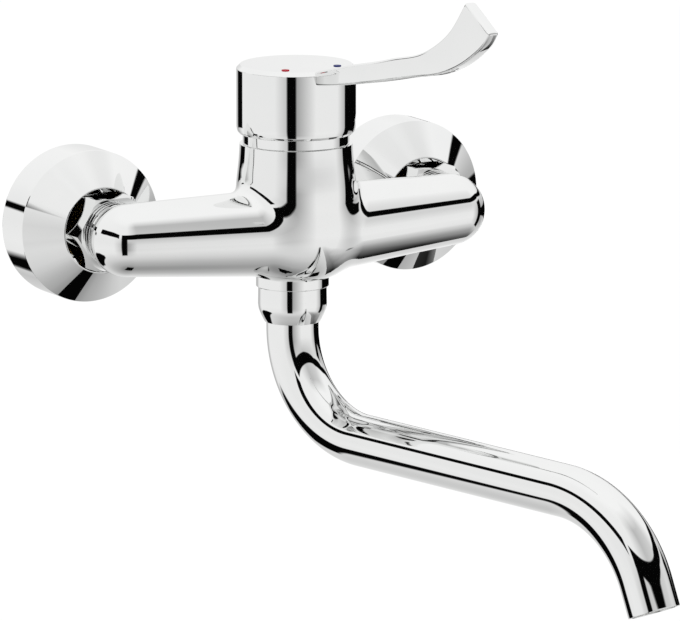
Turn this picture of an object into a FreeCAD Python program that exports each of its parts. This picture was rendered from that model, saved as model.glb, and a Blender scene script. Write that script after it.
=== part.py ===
import FreeCAD, Part
import math
import os

os.makedirs("parts", exist_ok=True)
V = FreeCAD.Vector

# Wall-mounted single-lever basin mixer, millimetres, user on the -Y side.
# Heights are measured from the body's own datum, just above the inlets' axes.
# On saving, all is lifted so that the origin is midway between the two wall
# threads, in the plane of the finished wall.

# Clearances
thread_gap = 0.05
run_gap = 0.08
seal_gap = 0.05
face_gap = 0.3
snug_gap = 0.02

# Wall unions: G1/2 in the wall, G3/4 to the nut
inlet_centres = 150.0
union_offset = 8.0
inlet_z = -0.65
wall_thread_r = 10.48
wall_thread_length = 14.0
wall_way_r = 7.5
swell_back = 1.5
swell_front = 11.0
nut_thread_r = 13.22
front_way_r = 8.5
union_front = 30.0

# Escutcheon: rim cylinder, cone, and the collar that screws on the union
rim_r = 31.3
rim_depth = 17.6
cone_front = 29.5
hole_r = 17.2
sheet_t = 1.4
collar_back = 13.0
collar_front = 16.0
cone_drop = 0.6
hole_drop = 2.4

# Filter washer, union tail, check valve and union nut
washer_t = 2.0
flange_r = 12.7
flange_t = 3.5
tail_r = 9.8
tail_bore_r = 8.0
tail_lip_r = 5.8
tail_lip_t = 2.5
tail_thread = 8.0
valve_bore_r = 6.0
valve_back = 1.0
poppet_back = 3.0
poppet_r = 4.6
poppet_stem_r = 1.4
poppet_t = 1.5
poppet_length = 9.0
bridge_w = 1.6
bridge_t = 2.0
bridge_back = 6.0
nut_flats = 29.4
nut_length = 16.0
nut_lip_t = 4.5
nut_slack = 0.4
nut_bevel_w = 1.3
nut_bevel_t = 0.9

# Body casting: arms, necks towards the wall, turret
arm_end_y = 50.0
arm_r = 14.5
arm_mid_y = 54.8
arm_mid_z = -2.8
arm_mid_r = 19.3
neck_r = 13.3
groove_back = 1.6
groove_w = 0.7
groove_depth = 0.6
pocket_gap = 1.2
blend_r = 5.0
turret_y = 55.5
turret_top = 33.3
turret_top_r = 23.1
turret_wide_r = 24.6
turret_outline = [(10.5, -22.5), (15.0, -20.9), (18.9, -17.2), (21.8, -11.5), (23.6, -4.0),
                  (turret_wide_r, 6.0), (24.4, 18.0), (23.45, 27.0), (turret_top_r, turret_top)]

# Water ways in the body
inlet_way_r = 6.2
inlet_way_length = 5.0
cross_way_r = 5.5
cross_way_y = 54.5
cross_way_z = -6.5
cross_way_start = 5.0
outlet_way_length = 6.0

# Cartridge, size 35
floor_z = 1.0
cartridge_r = 17.4
chamber_gap = 0.1
base_t = 4.0
disc_t = 4.0
carrier_t = 4.0
fixed_disc_r = 14.5
moving_disc_r = 10.4
outlet_port_r = 3.6
outlet_port_y = -7.5
inlet_port_r = 3.4
inlet_port_x = 7.2
inlet_port_y = 4.5
disc_port_step = 0.4
seal_in = 0.5
seal_w = 1.4
seal_t = 1.2
chamber_w = 9.0
chamber_length = 12.0
chamber_depth = 2.3
shoulder_z = 24.0
shell_bore_r = 14.6
shell_neck_r = 15.6
shell_cap_z = 31.3
shell_cap_w = 1.8
rotor_top = 29.0
rotor_neck_r = 11.6
rotor_neck_top = 34.0
shell_top_drop = 0.5
slot_slack = 0.6
slot_length = 14.4
pivot_z = 25.0
pin_r = 1.5
pin_length = 26.0

# Lever stem, measured from the pivot along its own leaning axis
stem_lean = 12.5
stem_side = 8.0
stem_up = 29.0
stem_down = 5.0
stem_foot = 9.0
foot_r = 2.2
foot_neck_r = 1.8
foot_seat = 0.4

# Ring nut that holds the cartridge down, and the dome ring
lock_wall = 3.3
lock_bore_gap = 0.15
lock_top = 36.5
notch_count = 6
notch_w = 4.0
notch_depth = 2.2
dome_r = 25.2
dome_t = 1.3
dome_rim_r = 21.8
dome_hole_r = 14.0

# Handle: hood, inner boss and elbow lever
hood_r = 24.4
hood_wall = 2.0
hood_top_t = 2.8
hood_bottom = 38.3
hood_chamfer_top = 41.0
hood_top = 64.4
hood_bevel = 1.6
hood_lip_in = 1.1
hood_lip_out = 0.35
hood_lip_h = 1.0
boss_r = 7.6
boss_low = 12.0
socket_room = 1.0
lever_root_w = 8.0
lever_knee = 60.0
lever_tip_w = 4.2
lever_edge_r = 1.2
lever_upper_line = [(16.0, 62.3), (27.5, 66.0), (43.2, 70.1), (55.4, 73.2), (76.5, 78.3), (87.4, 80.9),
                    (107.0, 85.3), (120.0, 90.9), (131.8, 98.7), (139.2, 106.6), (142.9, 110.9)]
lever_lower_line = [(162.0, 100.8), (158.4, 96.5), (151.0, 91.2), (141.5, 86.1), (132.9, 82.5), (120.0, 78.6),
                    (103.7, 75.4), (76.5, 69.7), (57.7, 66.0), (43.2, 63.4), (24.1, 60.4), (16.0, 59.3)]

# Hot and cold marks, grub screw and its plug
mark_r = 1.5
mark_t = 0.6
mark_x = 12.0
mark_forward = 13.0
grub_r = 2.5
grub_z = 50.5
grub_length = 6.0
grub_sunk = 0.6
grub_way = 6.0
plug_sunk = 0.05

# Spout: spigot under the body, cap nut, slide ring, turned end with O-rings
spout_y = 52.2
spout_turn = 17.0
collar_r = 14.9
collar_bottom = -26.3
collar_up = 6.0
spigot_thread_r = 12.0
spigot_bottom = -33.0
socket_r = 9.8
socket_top = -14.5
cap_nut_outline = [(14.0, -33.0), (13.6, -35.6), (12.6, -38.2), (11.7, -40.2), (11.4, -41.0)]
cap_seat_z = -37.6
slide_ring_r = 11.9
slide_ring_t = 1.5
end_top = -21.0
end_wall = 2.0
end_low = -42.5
end_flange_r = 11.4
o_ring_tops = (-23.0, -27.4)
o_ring_w = 2.0
o_ring_depth = 1.4

# Spout tube: out of the vertical, a straight run, and down at the end
tube_r = 10.7
tube_wall = 1.4
tube_top = -38.0
bend_start = -43.5
bend1_r = 42.0
bend1_deg = 87.6
run_length = 112.0
bend2_r = 50.0
bend2_deg = 66.0
end_length = 11.5

# Flow straightener in the outlet, and its seal
straightener_length = 9.0
straightener_recess = 1.2
straightener_seal_at = 5.0
straightener_seal_w = 1.8
straightener_seal_depth = 1.3
passage_r = 1.05
passage_ring_r = (0.0, 3.2, 6.3)
passage_count = (1, 6, 12)

# Derived places
inlet_x = inlet_centres / 2
lock_thread_r = shell_neck_r + lock_wall
lift = union_offset - inlet_z
tail_back = union_front + washer_t
tail_face = tail_back + flange_t
nut_front = tail_face + nut_lip_t
nut_back = nut_front - nut_length
nut_corner_r = nut_flats / 2 / math.cos(math.pi / 6)
neck_back = nut_front + face_gap
tail_front = neck_back + tail_thread
valve_front = tail_front - tail_lip_t
disc_z = floor_z + base_t
move_z = disc_z + disc_t
carrier_z = move_z + disc_t
rotor_z = carrier_z + carrier_t + face_gap
lean = math.radians(stem_lean)
disc_back = stem_foot * math.sin(lean)
body_bottom = turret_outline[0][1]
ports = ((0, outlet_port_y, outlet_port_r), (-inlet_port_x, inlet_port_y, inlet_port_r),
         (inlet_port_x, inlet_port_y, inlet_port_r))
end_r = socket_r - run_gap
end_flange_top = spigot_bottom - face_gap
slide_ring_top = cap_seat_z + slide_ring_t
tube_bore_r = tube_r - tube_wall


# Shapes used by many pieces
def turned(points):
    # A solid of revolution about Z from (radius, height) corners.
    corners = [V(r, 0, z) for r, z in points]
    face = Part.Face(Part.makePolygon(corners + [corners[0]]))
    return face.revolve(V(0, 0, 0), V(0, 0, 1), 360)


def rod(r, low, high, x=0.0, y=0.0):
    return Part.makeCylinder(r, high - low, V(x, y, low))


def ring(outer, inner, low, high, x=0.0, y=0.0):
    return rod(outer, low, high, x, y).cut(rod(inner, low - 1, high + 1, x, y))


def bar(r, reach, z):
    # A round bar along X, as far to each side as its reach.
    return Part.makeCylinder(r, 2 * reach, V(-reach, 0, z), V(1, 0, 0))


def circle_wire(r, centre, normal):
    return Part.Wire(Part.makeCircle(r, centre, normal))


def rounded(shape, edges, r):
    # Rounds the edges, by less where a changed size leaves less room.
    for share in (1.0, 0.7, 0.5):
        try:
            soft = shape.makeFillet(r * share, edges)
        except Part.OCCError:
            continue
        if soft.isValid() and soft.Volume > shape.Volume * 0.9:
            return soft
    return shape


# Placing and saving
def from_wall(shape, x):
    # Lays a piece built along Z on the way out of the wall, at one inlet.
    laid = shape.copy()
    laid.rotate(V(0, 0, 0), V(1, 0, 0), 90)
    laid.translate(V(x, 0, inlet_z))
    return laid


def upright(shape, y):
    moved = shape.copy()
    moved.translate(V(0, -y, 0))
    return moved


def leaning(shape):
    # Leans a piece built on the stem's axis forward about the pivot pin.
    tilted = shape.copy()
    tilted.rotate(V(0, 0, 0), V(1, 0, 0), stem_lean)
    tilted.translate(V(0, 0, pivot_z))
    return tilted


def swivelled(shape):
    # Turns the spout about its axis to where the photo shows it.
    placed = shape.copy()
    placed.rotate(V(0, 0, 0), V(0, 0, 1), spout_turn)
    return upright(placed, spout_y)


def save(name, shape):
    lifted = shape.copy()
    lifted.translate(V(0, 0, lift))
    if len(lifted.Solids) != 1 or not lifted.isValid():
        raise ValueError(name + " is not one sound solid")
    lifted.Solids[0].exportStep("parts/" + name + ".step")


# Wall unions
def union_blank(back_r, front_r, extra):
    stub = rod(back_r, -wall_thread_length - extra, swell_back, 0, -union_offset)
    swell = Part.makeLoft([circle_wire(back_r, V(0, -union_offset, swell_back), V(0, 0, 1)),
                           circle_wire(front_r, V(0, 0, swell_front), V(0, 0, 1))], True, True)
    front = rod(front_r, swell_front, union_front + extra)
    return stub.fuse([swell, front])


def wall_union():
    outside = union_blank(wall_thread_r, nut_thread_r, 0)
    return outside.cut(union_blank(wall_way_r, front_way_r, 1)).removeSplitter()


# Escutcheon
def escutcheon():
    collar_r = nut_thread_r + thread_gap
    return turned([(rim_r, 0), (rim_r, rim_depth), (hole_r, cone_front), (hole_r, collar_front),
                   (collar_r, collar_front), (collar_r, collar_back), (hole_r + sheet_t, collar_back),
                   (hole_r + sheet_t, cone_front - hole_drop), (rim_r - sheet_t, rim_depth - cone_drop),
                   (rim_r - sheet_t, 0)])


# Filter washer, union tail, check valve and union nut
def filter_washer():
    return ring(flange_r, tail_bore_r, union_front, tail_back)


def union_tail():
    return turned([(tail_bore_r, tail_back), (flange_r, tail_back), (flange_r, tail_face),
                   (tail_r, tail_face), (tail_r, tail_front), (tail_lip_r, tail_front),
                   (tail_lip_r, valve_front), (tail_bore_r, valve_front)])


def check_valve():
    shell = ring(tail_bore_r - thread_gap, valve_bore_r, tail_back + valve_back, valve_front)
    low = tail_back + poppet_back
    poppet = turned([(0, low), (poppet_r, low), (poppet_r, low + poppet_t),
                     (poppet_stem_r, low + 2 * poppet_t), (poppet_stem_r, low + poppet_length),
                     (0, low + poppet_length)])
    reach = (valve_bore_r + tail_bore_r) / 2
    bridge = Part.makeBox(2 * reach, bridge_w, bridge_t, V(-reach, -bridge_w / 2, low + bridge_back))
    return shell.fuse([poppet, bridge]).removeSplitter()


def union_nut():
    turns = [math.radians(60 * i) for i in range(7)]
    corners = [V(nut_corner_r * math.cos(turn), nut_corner_r * math.sin(turn), nut_back) for turn in turns]
    hexagon = Part.Face(Part.makePolygon(corners)).extrude(V(0, 0, nut_length))
    flat_r = nut_corner_r - nut_bevel_w
    bevelled = turned([(0, nut_back), (flat_r, nut_back), (nut_corner_r, nut_back + nut_bevel_t),
                       (nut_corner_r, nut_front - nut_bevel_t), (flat_r, nut_front), (0, nut_front)])
    nut = hexagon.common(bevelled).cut(rod(nut_thread_r + thread_gap, nut_back - 1, tail_face))
    return nut.cut(rod(tail_r + nut_slack, tail_face - 1, nut_front + 1)).removeSplitter()


# Body casting
def arm(sign):
    # A tapered round arm with a ball end, turned as one. A round pocket in its
    # back gives the nut room, and the neck stands in the pocket.
    middle = V(0, -arm_mid_y, arm_mid_z)
    end = V(sign * inlet_x, -arm_end_y, inlet_z)
    length = (end - middle).Length
    slope = (arm_mid_r - arm_r) / length
    touch = V(arm_r * math.sqrt(1 - slope ** 2), 0, length + arm_r * slope)
    halfway = math.asin(slope) / 2 + math.pi / 4
    over = V(arm_r * math.cos(halfway), 0, length + arm_r * math.sin(halfway))
    base = V(0, 0, 0)
    rim = V(arm_mid_r, 0, 0)
    tip = V(0, 0, length + arm_r)
    outline = Part.Wire([Part.makeLine(base, rim), Part.makeLine(rim, touch),
                         Part.Arc(touch, over, tip).toShape(), Part.makeLine(tip, base)])
    taper = Part.Face(outline).revolve(base, V(0, 0, 1), 360)
    taper.Placement = FreeCAD.Placement(middle, FreeCAD.Rotation(V(0, 0, 1), end - middle))
    pocket = rod(nut_corner_r + pocket_gap, 0, neck_back)
    groove_z = neck_back + groove_back
    neck = rod(neck_r, neck_back, arm_end_y)
    neck = neck.cut(ring(neck_r + 1, neck_r - groove_depth, groove_z, groove_z + groove_w))
    return taper.cut(from_wall(pocket, sign * inlet_x)).fuse(from_wall(neck, sign * inlet_x))


def turret():
    points = [V(r, 0, z) for r, z in turret_outline]
    curve = Part.BSplineCurve()
    curve.interpolate(points)
    foot = V(0, 0, body_bottom)
    top = V(0, 0, turret_top)
    profile = Part.Wire([Part.makeLine(foot, points[0]), curve.toShape(), Part.makeLine(points[-1], top),
                         Part.makeLine(top, foot)])
    return upright(Part.Face(profile).revolve(foot, V(0, 0, 1), 360), turret_y)


def body_ways():
    # Everything bored into the casting.
    ways = [rod(cartridge_r + chamber_gap, floor_z, turret_top + 1, 0, -turret_y),
            rod(lock_thread_r + thread_gap, shoulder_z, turret_top + 1, 0, -turret_y),
            rod(socket_r, spigot_bottom - 1, socket_top, 0, -spout_y),
            rod(outlet_port_r, socket_top - outlet_way_length, floor_z + 1, 0, outlet_port_y - turret_y)]
    for sign in (-1, 1):
        x = sign * inlet_x
        ways.append(from_wall(rod(tail_r + thread_gap, neck_back - 1, tail_front + face_gap), x))
        ways.append(from_wall(rod(inlet_way_r, tail_front, tail_front + inlet_way_length), x))
        ways.append(Part.makeCylinder(cross_way_r, inlet_x - cross_way_start + 1,
                                      V(sign * cross_way_start, -cross_way_y, cross_way_z), V(sign, 0, 0)))
        ways.append(rod(inlet_port_r, cross_way_z, floor_z + 1, sign * inlet_port_x, inlet_port_y - turret_y))
    return ways


def body_casting():
    body = arm(-1).fuse([arm(1), turret()]).removeSplitter()
    seams = []
    for edge in body.Edges:
        kinds = sorted(face.Surface.__class__.__name__ for face in body.ancestorsOfType(edge, Part.Face))
        if kinds == ["Cone", "SurfaceOfRevolution"] and abs(edge.CenterOfMass.x) < inlet_x / 2:
            seams.append(edge)
    body = rounded(body, seams, blend_r)
    collar = rod(collar_r, collar_bottom, body_bottom + collar_up, 0, -spout_y)
    spigot = rod(spigot_thread_r, spigot_bottom, body_bottom + collar_up, 0, -spout_y)
    body = body.fuse([collar, spigot])
    for way in body_ways():
        body = body.cut(way)
    return body


# Cartridge, from the floor of its chamber upwards
def cartridge_base():
    base = rod(cartridge_r, floor_z, disc_z)
    for x, y, r in ports:
        base = base.cut(rod(r, floor_z - 1, disc_z + 1, x, y))
        groove_r = r + seal_in
        base = base.cut(ring(groove_r + seal_w, groove_r, floor_z - 1, floor_z + seal_t, x, y))
    return base


def port_seal(x, y, r):
    groove_r = r + seal_in
    return ring(groove_r + seal_w - seal_gap, groove_r + seal_gap, floor_z, floor_z + seal_t - seal_gap, x, y)


def fixed_disc():
    disc = rod(fixed_disc_r, disc_z, move_z)
    for x, y, r in ports:
        disc = disc.cut(rod(r - disc_port_step, disc_z - 1, move_z + 1, x, y))
    return disc


def moving_disc():
    disc = rod(moving_disc_r, move_z, carrier_z, 0, disc_back)
    return disc.cut(Part.makeBox(chamber_w, chamber_length, chamber_depth + 1,
                                 V(-chamber_w / 2, disc_back - chamber_length / 2, move_z - 1)))


def disc_carrier():
    carrier = rod(moving_disc_r, carrier_z, carrier_z + carrier_t, 0, disc_back)
    return carrier.cut(rod(foot_r + run_gap, carrier_z + foot_seat, carrier_z + carrier_t + 1, 0, disc_back))


def cartridge_housing():
    cap_r = rotor_neck_r + shell_cap_w
    cap_top = rotor_neck_top - shell_top_drop
    neck_r_in = rotor_neck_r + run_gap
    roof = rotor_top + face_gap
    return turned([(cartridge_r, disc_z), (cartridge_r, shoulder_z), (shell_neck_r, shoulder_z),
                   (shell_neck_r, shell_cap_z), (cap_r, shell_cap_z), (cap_r, cap_top), (neck_r_in, cap_top),
                   (neck_r_in, roof), (shell_bore_r, roof), (shell_bore_r, disc_z)])


def cartridge_rotor():
    rotor = rod(shell_bore_r - run_gap, rotor_z, rotor_top).fuse(rod(rotor_neck_r, rotor_top, rotor_neck_top))
    slot_w = stem_side + slot_slack
    slot = Part.makeBox(slot_w, slot_length, rotor_neck_top, V(-slot_w / 2, -slot_length / 2, rotor_z - 1))
    return rotor.cut(slot).cut(bar(pin_r, cartridge_r, pivot_z)).removeSplitter()


def pivot_pin():
    return bar(pin_r, pin_length / 2, pivot_z)


def lever_stem():
    # A square stem with a pin hole, a thin neck and a ball foot.
    corner = V(-stem_side / 2, -stem_side / 2, -stem_down)
    square = Part.makeBox(stem_side, stem_side, stem_up + stem_down, corner)
    neck = rod(foot_neck_r, 1 - stem_foot, 1 - stem_down)
    ball = Part.makeSphere(foot_r, V(0, 0, -stem_foot))
    stem = square.fuse([neck, ball]).cut(bar(pin_r + thread_gap, stem_side, 0))
    return leaning(stem.removeSplitter())


# Ring nut and dome ring
def cartridge_ring_nut():
    nut = ring(lock_thread_r, shell_neck_r + lock_bore_gap, shoulder_z, lock_top)
    for i in range(notch_count):
        corner = V(-notch_w / 2, 0, lock_top - notch_depth)
        notch = Part.makeBox(notch_w, lock_thread_r + 1, notch_depth + 1, corner)
        notch.rotate(V(0, 0, 0), V(0, 0, 1), 360 / notch_count * i)
        nut = nut.cut(notch)
    return nut


def dome_ring():
    # A spun dome round the pivot's centre, resting on the turret.
    shell = Part.makeSphere(dome_r).common(rod(dome_rim_r, turret_top - pivot_z, dome_r))
    hollow = Part.makeSphere(dome_r - dome_t).common(rod(lock_thread_r + thread_gap, 0, dome_r))
    shell = shell.cut(hollow).cut(rod(dome_hole_r, 0, dome_r))
    shell = shell.cut(rod(lock_thread_r + thread_gap, 0, lock_top - pivot_z + face_gap))
    shell.translate(V(0, 0, pivot_z))
    return shell.removeSplitter()


# Handle
def hood():
    inside = hood_r - hood_wall
    ceiling = hood_top - hood_top_t
    return turned([(inside, hood_bottom), (hood_r - hood_lip_in, hood_bottom),
                   (hood_r - hood_lip_out, hood_bottom + hood_lip_h), (hood_r, hood_chamfer_top),
                   (hood_r, hood_top - hood_bevel), (hood_r - hood_bevel, hood_top), (0, hood_top), (0, ceiling),
                   (inside, ceiling)])


def lever():
    # The side outline cut from a flat blank, narrowed in plan towards the tip.
    upper_points = [V(0, -s, z) for s, z in lever_upper_line]
    lower_points = [V(0, -s, z) for s, z in lever_lower_line]
    upper = Part.BSplineCurve()
    upper.interpolate(upper_points)
    lower = Part.BSplineCurve()
    lower.interpolate(lower_points)
    outline = Part.Wire([upper.toShape(), Part.makeLine(upper_points[-1], lower_points[0]),
                         lower.toShape(), Part.makeLine(lower_points[-1], upper_points[0])])
    blank = Part.Face(outline).extrude(V(2 * lever_root_w, 0, 0))
    blank.translate(V(-lever_root_w, 0, 0))
    root = lever_upper_line[0][0] - 1
    tip = lever_lower_line[0][0] + lever_root_w
    half_plan = [(lever_root_w / 2, root), (lever_root_w / 2, lever_knee), (lever_tip_w / 2, tip)]
    plan = [V(x, -s, 0) for x, s in half_plan] + [V(-x, -s, 0) for x, s in reversed(half_plan)]
    column = Part.Face(Part.makePolygon(plan + [plan[0]])).extrude(V(0, 0, 2 * hood_top))
    blade = blank.common(column)
    return rounded(blade, [edge for edge in blade.Edges if edge.Length > 3 * lever_root_w], lever_edge_r)


def stem_socket():
    side = stem_side + 2 * thread_gap
    return leaning(Part.makeBox(side, side, stem_up + socket_room, V(-side / 2, -side / 2, 0)))


def mark(sign, height):
    return rod(mark_r, hood_top - mark_t, hood_top - mark_t + height, sign * mark_x, -mark_forward)


def handle():
    boss = leaning(rod(boss_r, boss_low, hood_top)).common(rod(hood_r - hood_wall, 0, hood_top - 1))
    whole = hood().fuse([boss, lever()]).cut(stem_socket())
    screw_way = Part.makeCylinder(grub_r, grub_way + hood_r + 1, V(0, -grub_way, grub_z), V(0, 1, 0))
    whole = whole.cut(screw_way.cut(stem_socket()))
    for sign in (-1, 1):
        whole = whole.cut(mark(sign, 2 * mark_t))
    return whole.removeSplitter()


def handle_grub_screw():
    # The screw bears on the stem, and ends inside the leaning boss, clear of the dome.
    boss_rear = boss_r / math.cos(lean) - (grub_z - pivot_z) * math.tan(lean)
    start = V(0, boss_rear - grub_sunk - grub_length, grub_z)
    return Part.makeCylinder(grub_r - snug_gap, grub_length, start, V(0, 1, 0)).cut(stem_socket())


def handle_screw_plug():
    plug = Part.makeCylinder(grub_r - snug_gap, hood_wall, V(0, hood_r - hood_wall, grub_z), V(0, 1, 0))
    return plug.common(rod(hood_r - plug_sunk, 0, hood_top))


# Spout fixing
def spout_cap_nut():
    bore_r = spigot_thread_r + thread_gap
    tube_hole_r = tube_r + face_gap
    return turned([(bore_r, collar_bottom), (cap_nut_outline[0][0], collar_bottom)] + cap_nut_outline
                  + [(tube_hole_r, cap_nut_outline[-1][1]), (tube_hole_r, cap_seat_z), (bore_r, cap_seat_z)])


def spout_slide_ring():
    return ring(slide_ring_r, tube_r + face_gap, cap_seat_z, slide_ring_top)


def spout_spigot():
    # The turned end of the spout: two O-ring grooves, a flange, and a sleeve
    # that is soldered in the tube.
    bore_r = tube_bore_r - end_wall
    outside = [(bore_r, end_top), (end_r, end_top)]
    for top in o_ring_tops:
        floor_r = end_r - o_ring_depth
        outside += [(end_r, top), (floor_r, top), (floor_r, top - o_ring_w), (end_r, top - o_ring_w)]
    outside += [(end_r, end_flange_top), (end_flange_r, end_flange_top), (end_flange_r, slide_ring_top),
                (tube_r, slide_ring_top), (tube_r, tube_top), (tube_bore_r, tube_top), (tube_bore_r, end_low),
                (bore_r, end_low)]
    return turned(outside)


def o_ring(top):
    return ring(end_r + snug_gap, end_r - o_ring_depth + snug_gap, top - o_ring_w + seal_gap, top - seal_gap)


# Spout tube, drawn in the plane x = 0 as (distance forward, height)
turn1 = math.radians(bend1_deg)
turn2 = math.radians(bend1_deg - bend2_deg)
bend1_centre = (bend1_r, bend_start)
run_start = (bend1_r * (1 - math.cos(turn1)), bend_start - bend1_r * math.sin(turn1))
run_end = (run_start[0] + run_length * math.sin(turn1), run_start[1] - run_length * math.cos(turn1))
bend2_centre = (run_end[0] - bend2_r * math.cos(turn1), run_end[1] - bend2_r * math.sin(turn1))
end_start = (bend2_centre[0] + bend2_r * math.cos(turn2), bend2_centre[1] + bend2_r * math.sin(turn2))
outlet = (end_start[0] + end_length * math.sin(turn2), end_start[1] - end_length * math.cos(turn2))


def flat(point):
    return V(0, -point[0], point[1])


def heading(angle):
    return V(0, -math.sin(angle), -math.cos(angle))


def straight(start, angle, length, r):
    return Part.makeCylinder(r, length, flat(start), heading(angle))


def bend(start, angle, centre, degrees, r):
    section = Part.Face(circle_wire(r, flat(start), heading(angle)))
    return section.revolve(flat(centre), V(1, 0, 0), degrees)


def spout_rod(r):
    drop = straight((0, tube_top), 0, tube_top - bend_start, r)
    rest = [bend((0, bend_start), 0, bend1_centre, -bend1_deg, r), straight(run_start, turn1, run_length, r),
            bend(run_end, turn1, bend2_centre, bend2_deg, r), straight(end_start, turn2, end_length, r)]
    return drop.fuse(rest).removeSplitter()


def spout_tube():
    return spout_rod(tube_r).cut(spout_rod(tube_bore_r))


# Outlet insert
def in_outlet(shape):
    placed = shape.copy()
    placed.translate(V(0, 0, straightener_recess))
    placed.rotate(V(0, 0, 0), V(1, 0, 0), -math.degrees(turn2))
    placed.translate(flat(outlet))
    return swivelled(placed)


def flow_straightener():
    low = straightener_seal_at
    insert = rod(tube_bore_r - seal_gap, 0, straightener_length)
    groove_r = tube_bore_r - straightener_seal_depth
    insert = insert.cut(ring(tube_bore_r, groove_r, low, low + straightener_seal_w))
    for count, ring_r in zip(passage_count, passage_ring_r):
        for i in range(count):
            turn = math.radians(360 / count * i)
            x = ring_r * math.cos(turn)
            y = ring_r * math.sin(turn)
            insert = insert.cut(rod(passage_r, -1, straightener_length + 1, x, y))
    return insert


def flow_straightener_seal():
    low = straightener_seal_at + seal_gap
    high = straightener_seal_at + straightener_seal_w - seal_gap
    return ring(tube_bore_r - snug_gap, tube_bore_r - straightener_seal_depth + snug_gap, low, high)


# Save the pieces that stand twice, at the two inlets
for side, x in (("left", -inlet_x), ("right", inlet_x)):
    save(side + "_wall_union", from_wall(wall_union(), x))
    save(side + "_escutcheon", from_wall(escutcheon(), x))
    save(side + "_filter_washer", from_wall(filter_washer(), x))
    save(side + "_union_tail", from_wall(union_tail(), x))
    save(side + "_check_valve", from_wall(check_valve(), x))
    save(side + "_union_nut", from_wall(union_nut(), x))

# Save the body, the cartridge and the handle
save("body_casting", body_casting())
save("cartridge_base", upright(cartridge_base(), turret_y))
for label, port in zip(("outlet", "hot", "cold"), ports):
    save(label + "_port_seal", upright(port_seal(*port), turret_y))
save("fixed_ceramic_disc", upright(fixed_disc(), turret_y))
save("moving_ceramic_disc", upright(moving_disc(), turret_y))
save("disc_carrier", upright(disc_carrier(), turret_y))
save("cartridge_housing", upright(cartridge_housing(), turret_y))
save("cartridge_rotor", upright(cartridge_rotor(), turret_y))
save("pivot_pin", upright(pivot_pin(), turret_y))
save("lever_stem", upright(lever_stem(), turret_y))
save("cartridge_ring_nut", upright(cartridge_ring_nut(), turret_y))
save("dome_ring", upright(dome_ring(), turret_y))
save("handle", upright(handle(), turret_y))
save("hot_mark", upright(mark(-1, mark_t), turret_y))
save("cold_mark", upright(mark(1, mark_t), turret_y))
save("handle_grub_screw", upright(handle_grub_screw(), turret_y))
save("handle_screw_plug", upright(handle_screw_plug(), turret_y))

# Save the spout
save("spout_cap_nut", upright(spout_cap_nut(), spout_y))
save("spout_slide_ring", upright(spout_slide_ring(), spout_y))
save("spout_spigot", upright(spout_spigot(), spout_y))
save("spout_upper_o_ring", upright(o_ring(o_ring_tops[0]), spout_y))
save("spout_lower_o_ring", upright(o_ring(o_ring_tops[1]), spout_y))
save("spout_tube", swivelled(spout_tube()))
save("flow_straightener", in_outlet(flow_straightener()))
save("flow_straightener_seal", in_outlet(flow_straightener_seal()))
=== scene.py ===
import math

import bpy
import numpy as np
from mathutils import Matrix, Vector


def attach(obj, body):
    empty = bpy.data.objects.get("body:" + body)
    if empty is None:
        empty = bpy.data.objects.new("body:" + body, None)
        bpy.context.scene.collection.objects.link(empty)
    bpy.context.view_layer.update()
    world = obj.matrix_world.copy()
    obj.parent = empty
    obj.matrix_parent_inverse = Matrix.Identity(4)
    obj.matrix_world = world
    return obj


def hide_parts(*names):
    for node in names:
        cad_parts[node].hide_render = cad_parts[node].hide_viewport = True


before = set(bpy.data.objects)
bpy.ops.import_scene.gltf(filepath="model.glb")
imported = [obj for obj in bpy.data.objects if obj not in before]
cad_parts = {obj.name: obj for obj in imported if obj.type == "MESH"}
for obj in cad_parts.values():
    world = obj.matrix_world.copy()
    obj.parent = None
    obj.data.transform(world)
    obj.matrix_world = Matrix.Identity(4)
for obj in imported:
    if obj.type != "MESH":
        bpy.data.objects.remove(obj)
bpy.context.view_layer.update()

# Camera: from the left and a little above, four metres away with a long lens,
# as for a catalogue picture, so that upright edges stay upright. The aim is
# moved sideways and down to place the tap in the frame as the photo has it.
view_turn = math.radians(-28.9)
view_rise = math.radians(10.7)
distance, aim_right, aim_down = 4.0, 0.0447, 0.0362
towards = Vector((math.sin(view_turn) * math.cos(view_rise), -math.cos(view_turn) * math.cos(view_rise),
                  math.sin(view_rise)))
sideways = Vector((math.cos(view_turn), math.sin(view_turn), 0.0))
camera = bpy.data.objects.new("camera", bpy.data.cameras.new("camera"))
camera.data.sensor_width = 36.0
camera.data.lens = 512.5
camera.data.clip_end = 50.0
camera.location = towards * distance + sideways * aim_right - towards.cross(sideways) * aim_down
camera.rotation_euler = towards.to_track_quat("Z", "Y").to_euler()
bpy.context.collection.objects.link(camera)
bpy.context.scene.camera = camera
bpy.context.scene.view_settings.view_transform = "Standard"


# Wall unions: offset brass connectors that screw into the pipes in the wall
# with a G1/2 thread and take the union nut on a G3/4 thread. Turned from bar
# and left bare, because the covers hide them.
def linear(code):
    # An sRGB hex colour as the linear values that the shaders take.
    parts = [int(code[i:i + 2], 16) / 255 for i in (1, 3, 5)]
    return [c / 12.92 if c <= 0.04045 else ((c + 0.055) / 1.055) ** 2.4 for c in parts] + [1.0]


def material(name):
    made = bpy.data.materials.new(name)
    made.use_nodes = True
    return made, made.node_tree, made.node_tree.nodes["Principled BSDF"]


def add(tree, kind, settings=None, **sockets):
    # Adds a node with its settings. A socket is set or linked by its name, or by _ and its number.
    node = tree.nodes.new(kind)
    for key, value in (settings or {}).items():
        setattr(node, key, value)
    for key, value in sockets.items():
        socket = node.inputs[int(key[1:])] if key[1:].isdigit() else node.inputs[key.replace("_", " ")]
        if hasattr(value, "is_output"):
            tree.links.new(value, socket)
        else:
            socket.default_value = value
    return node


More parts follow.
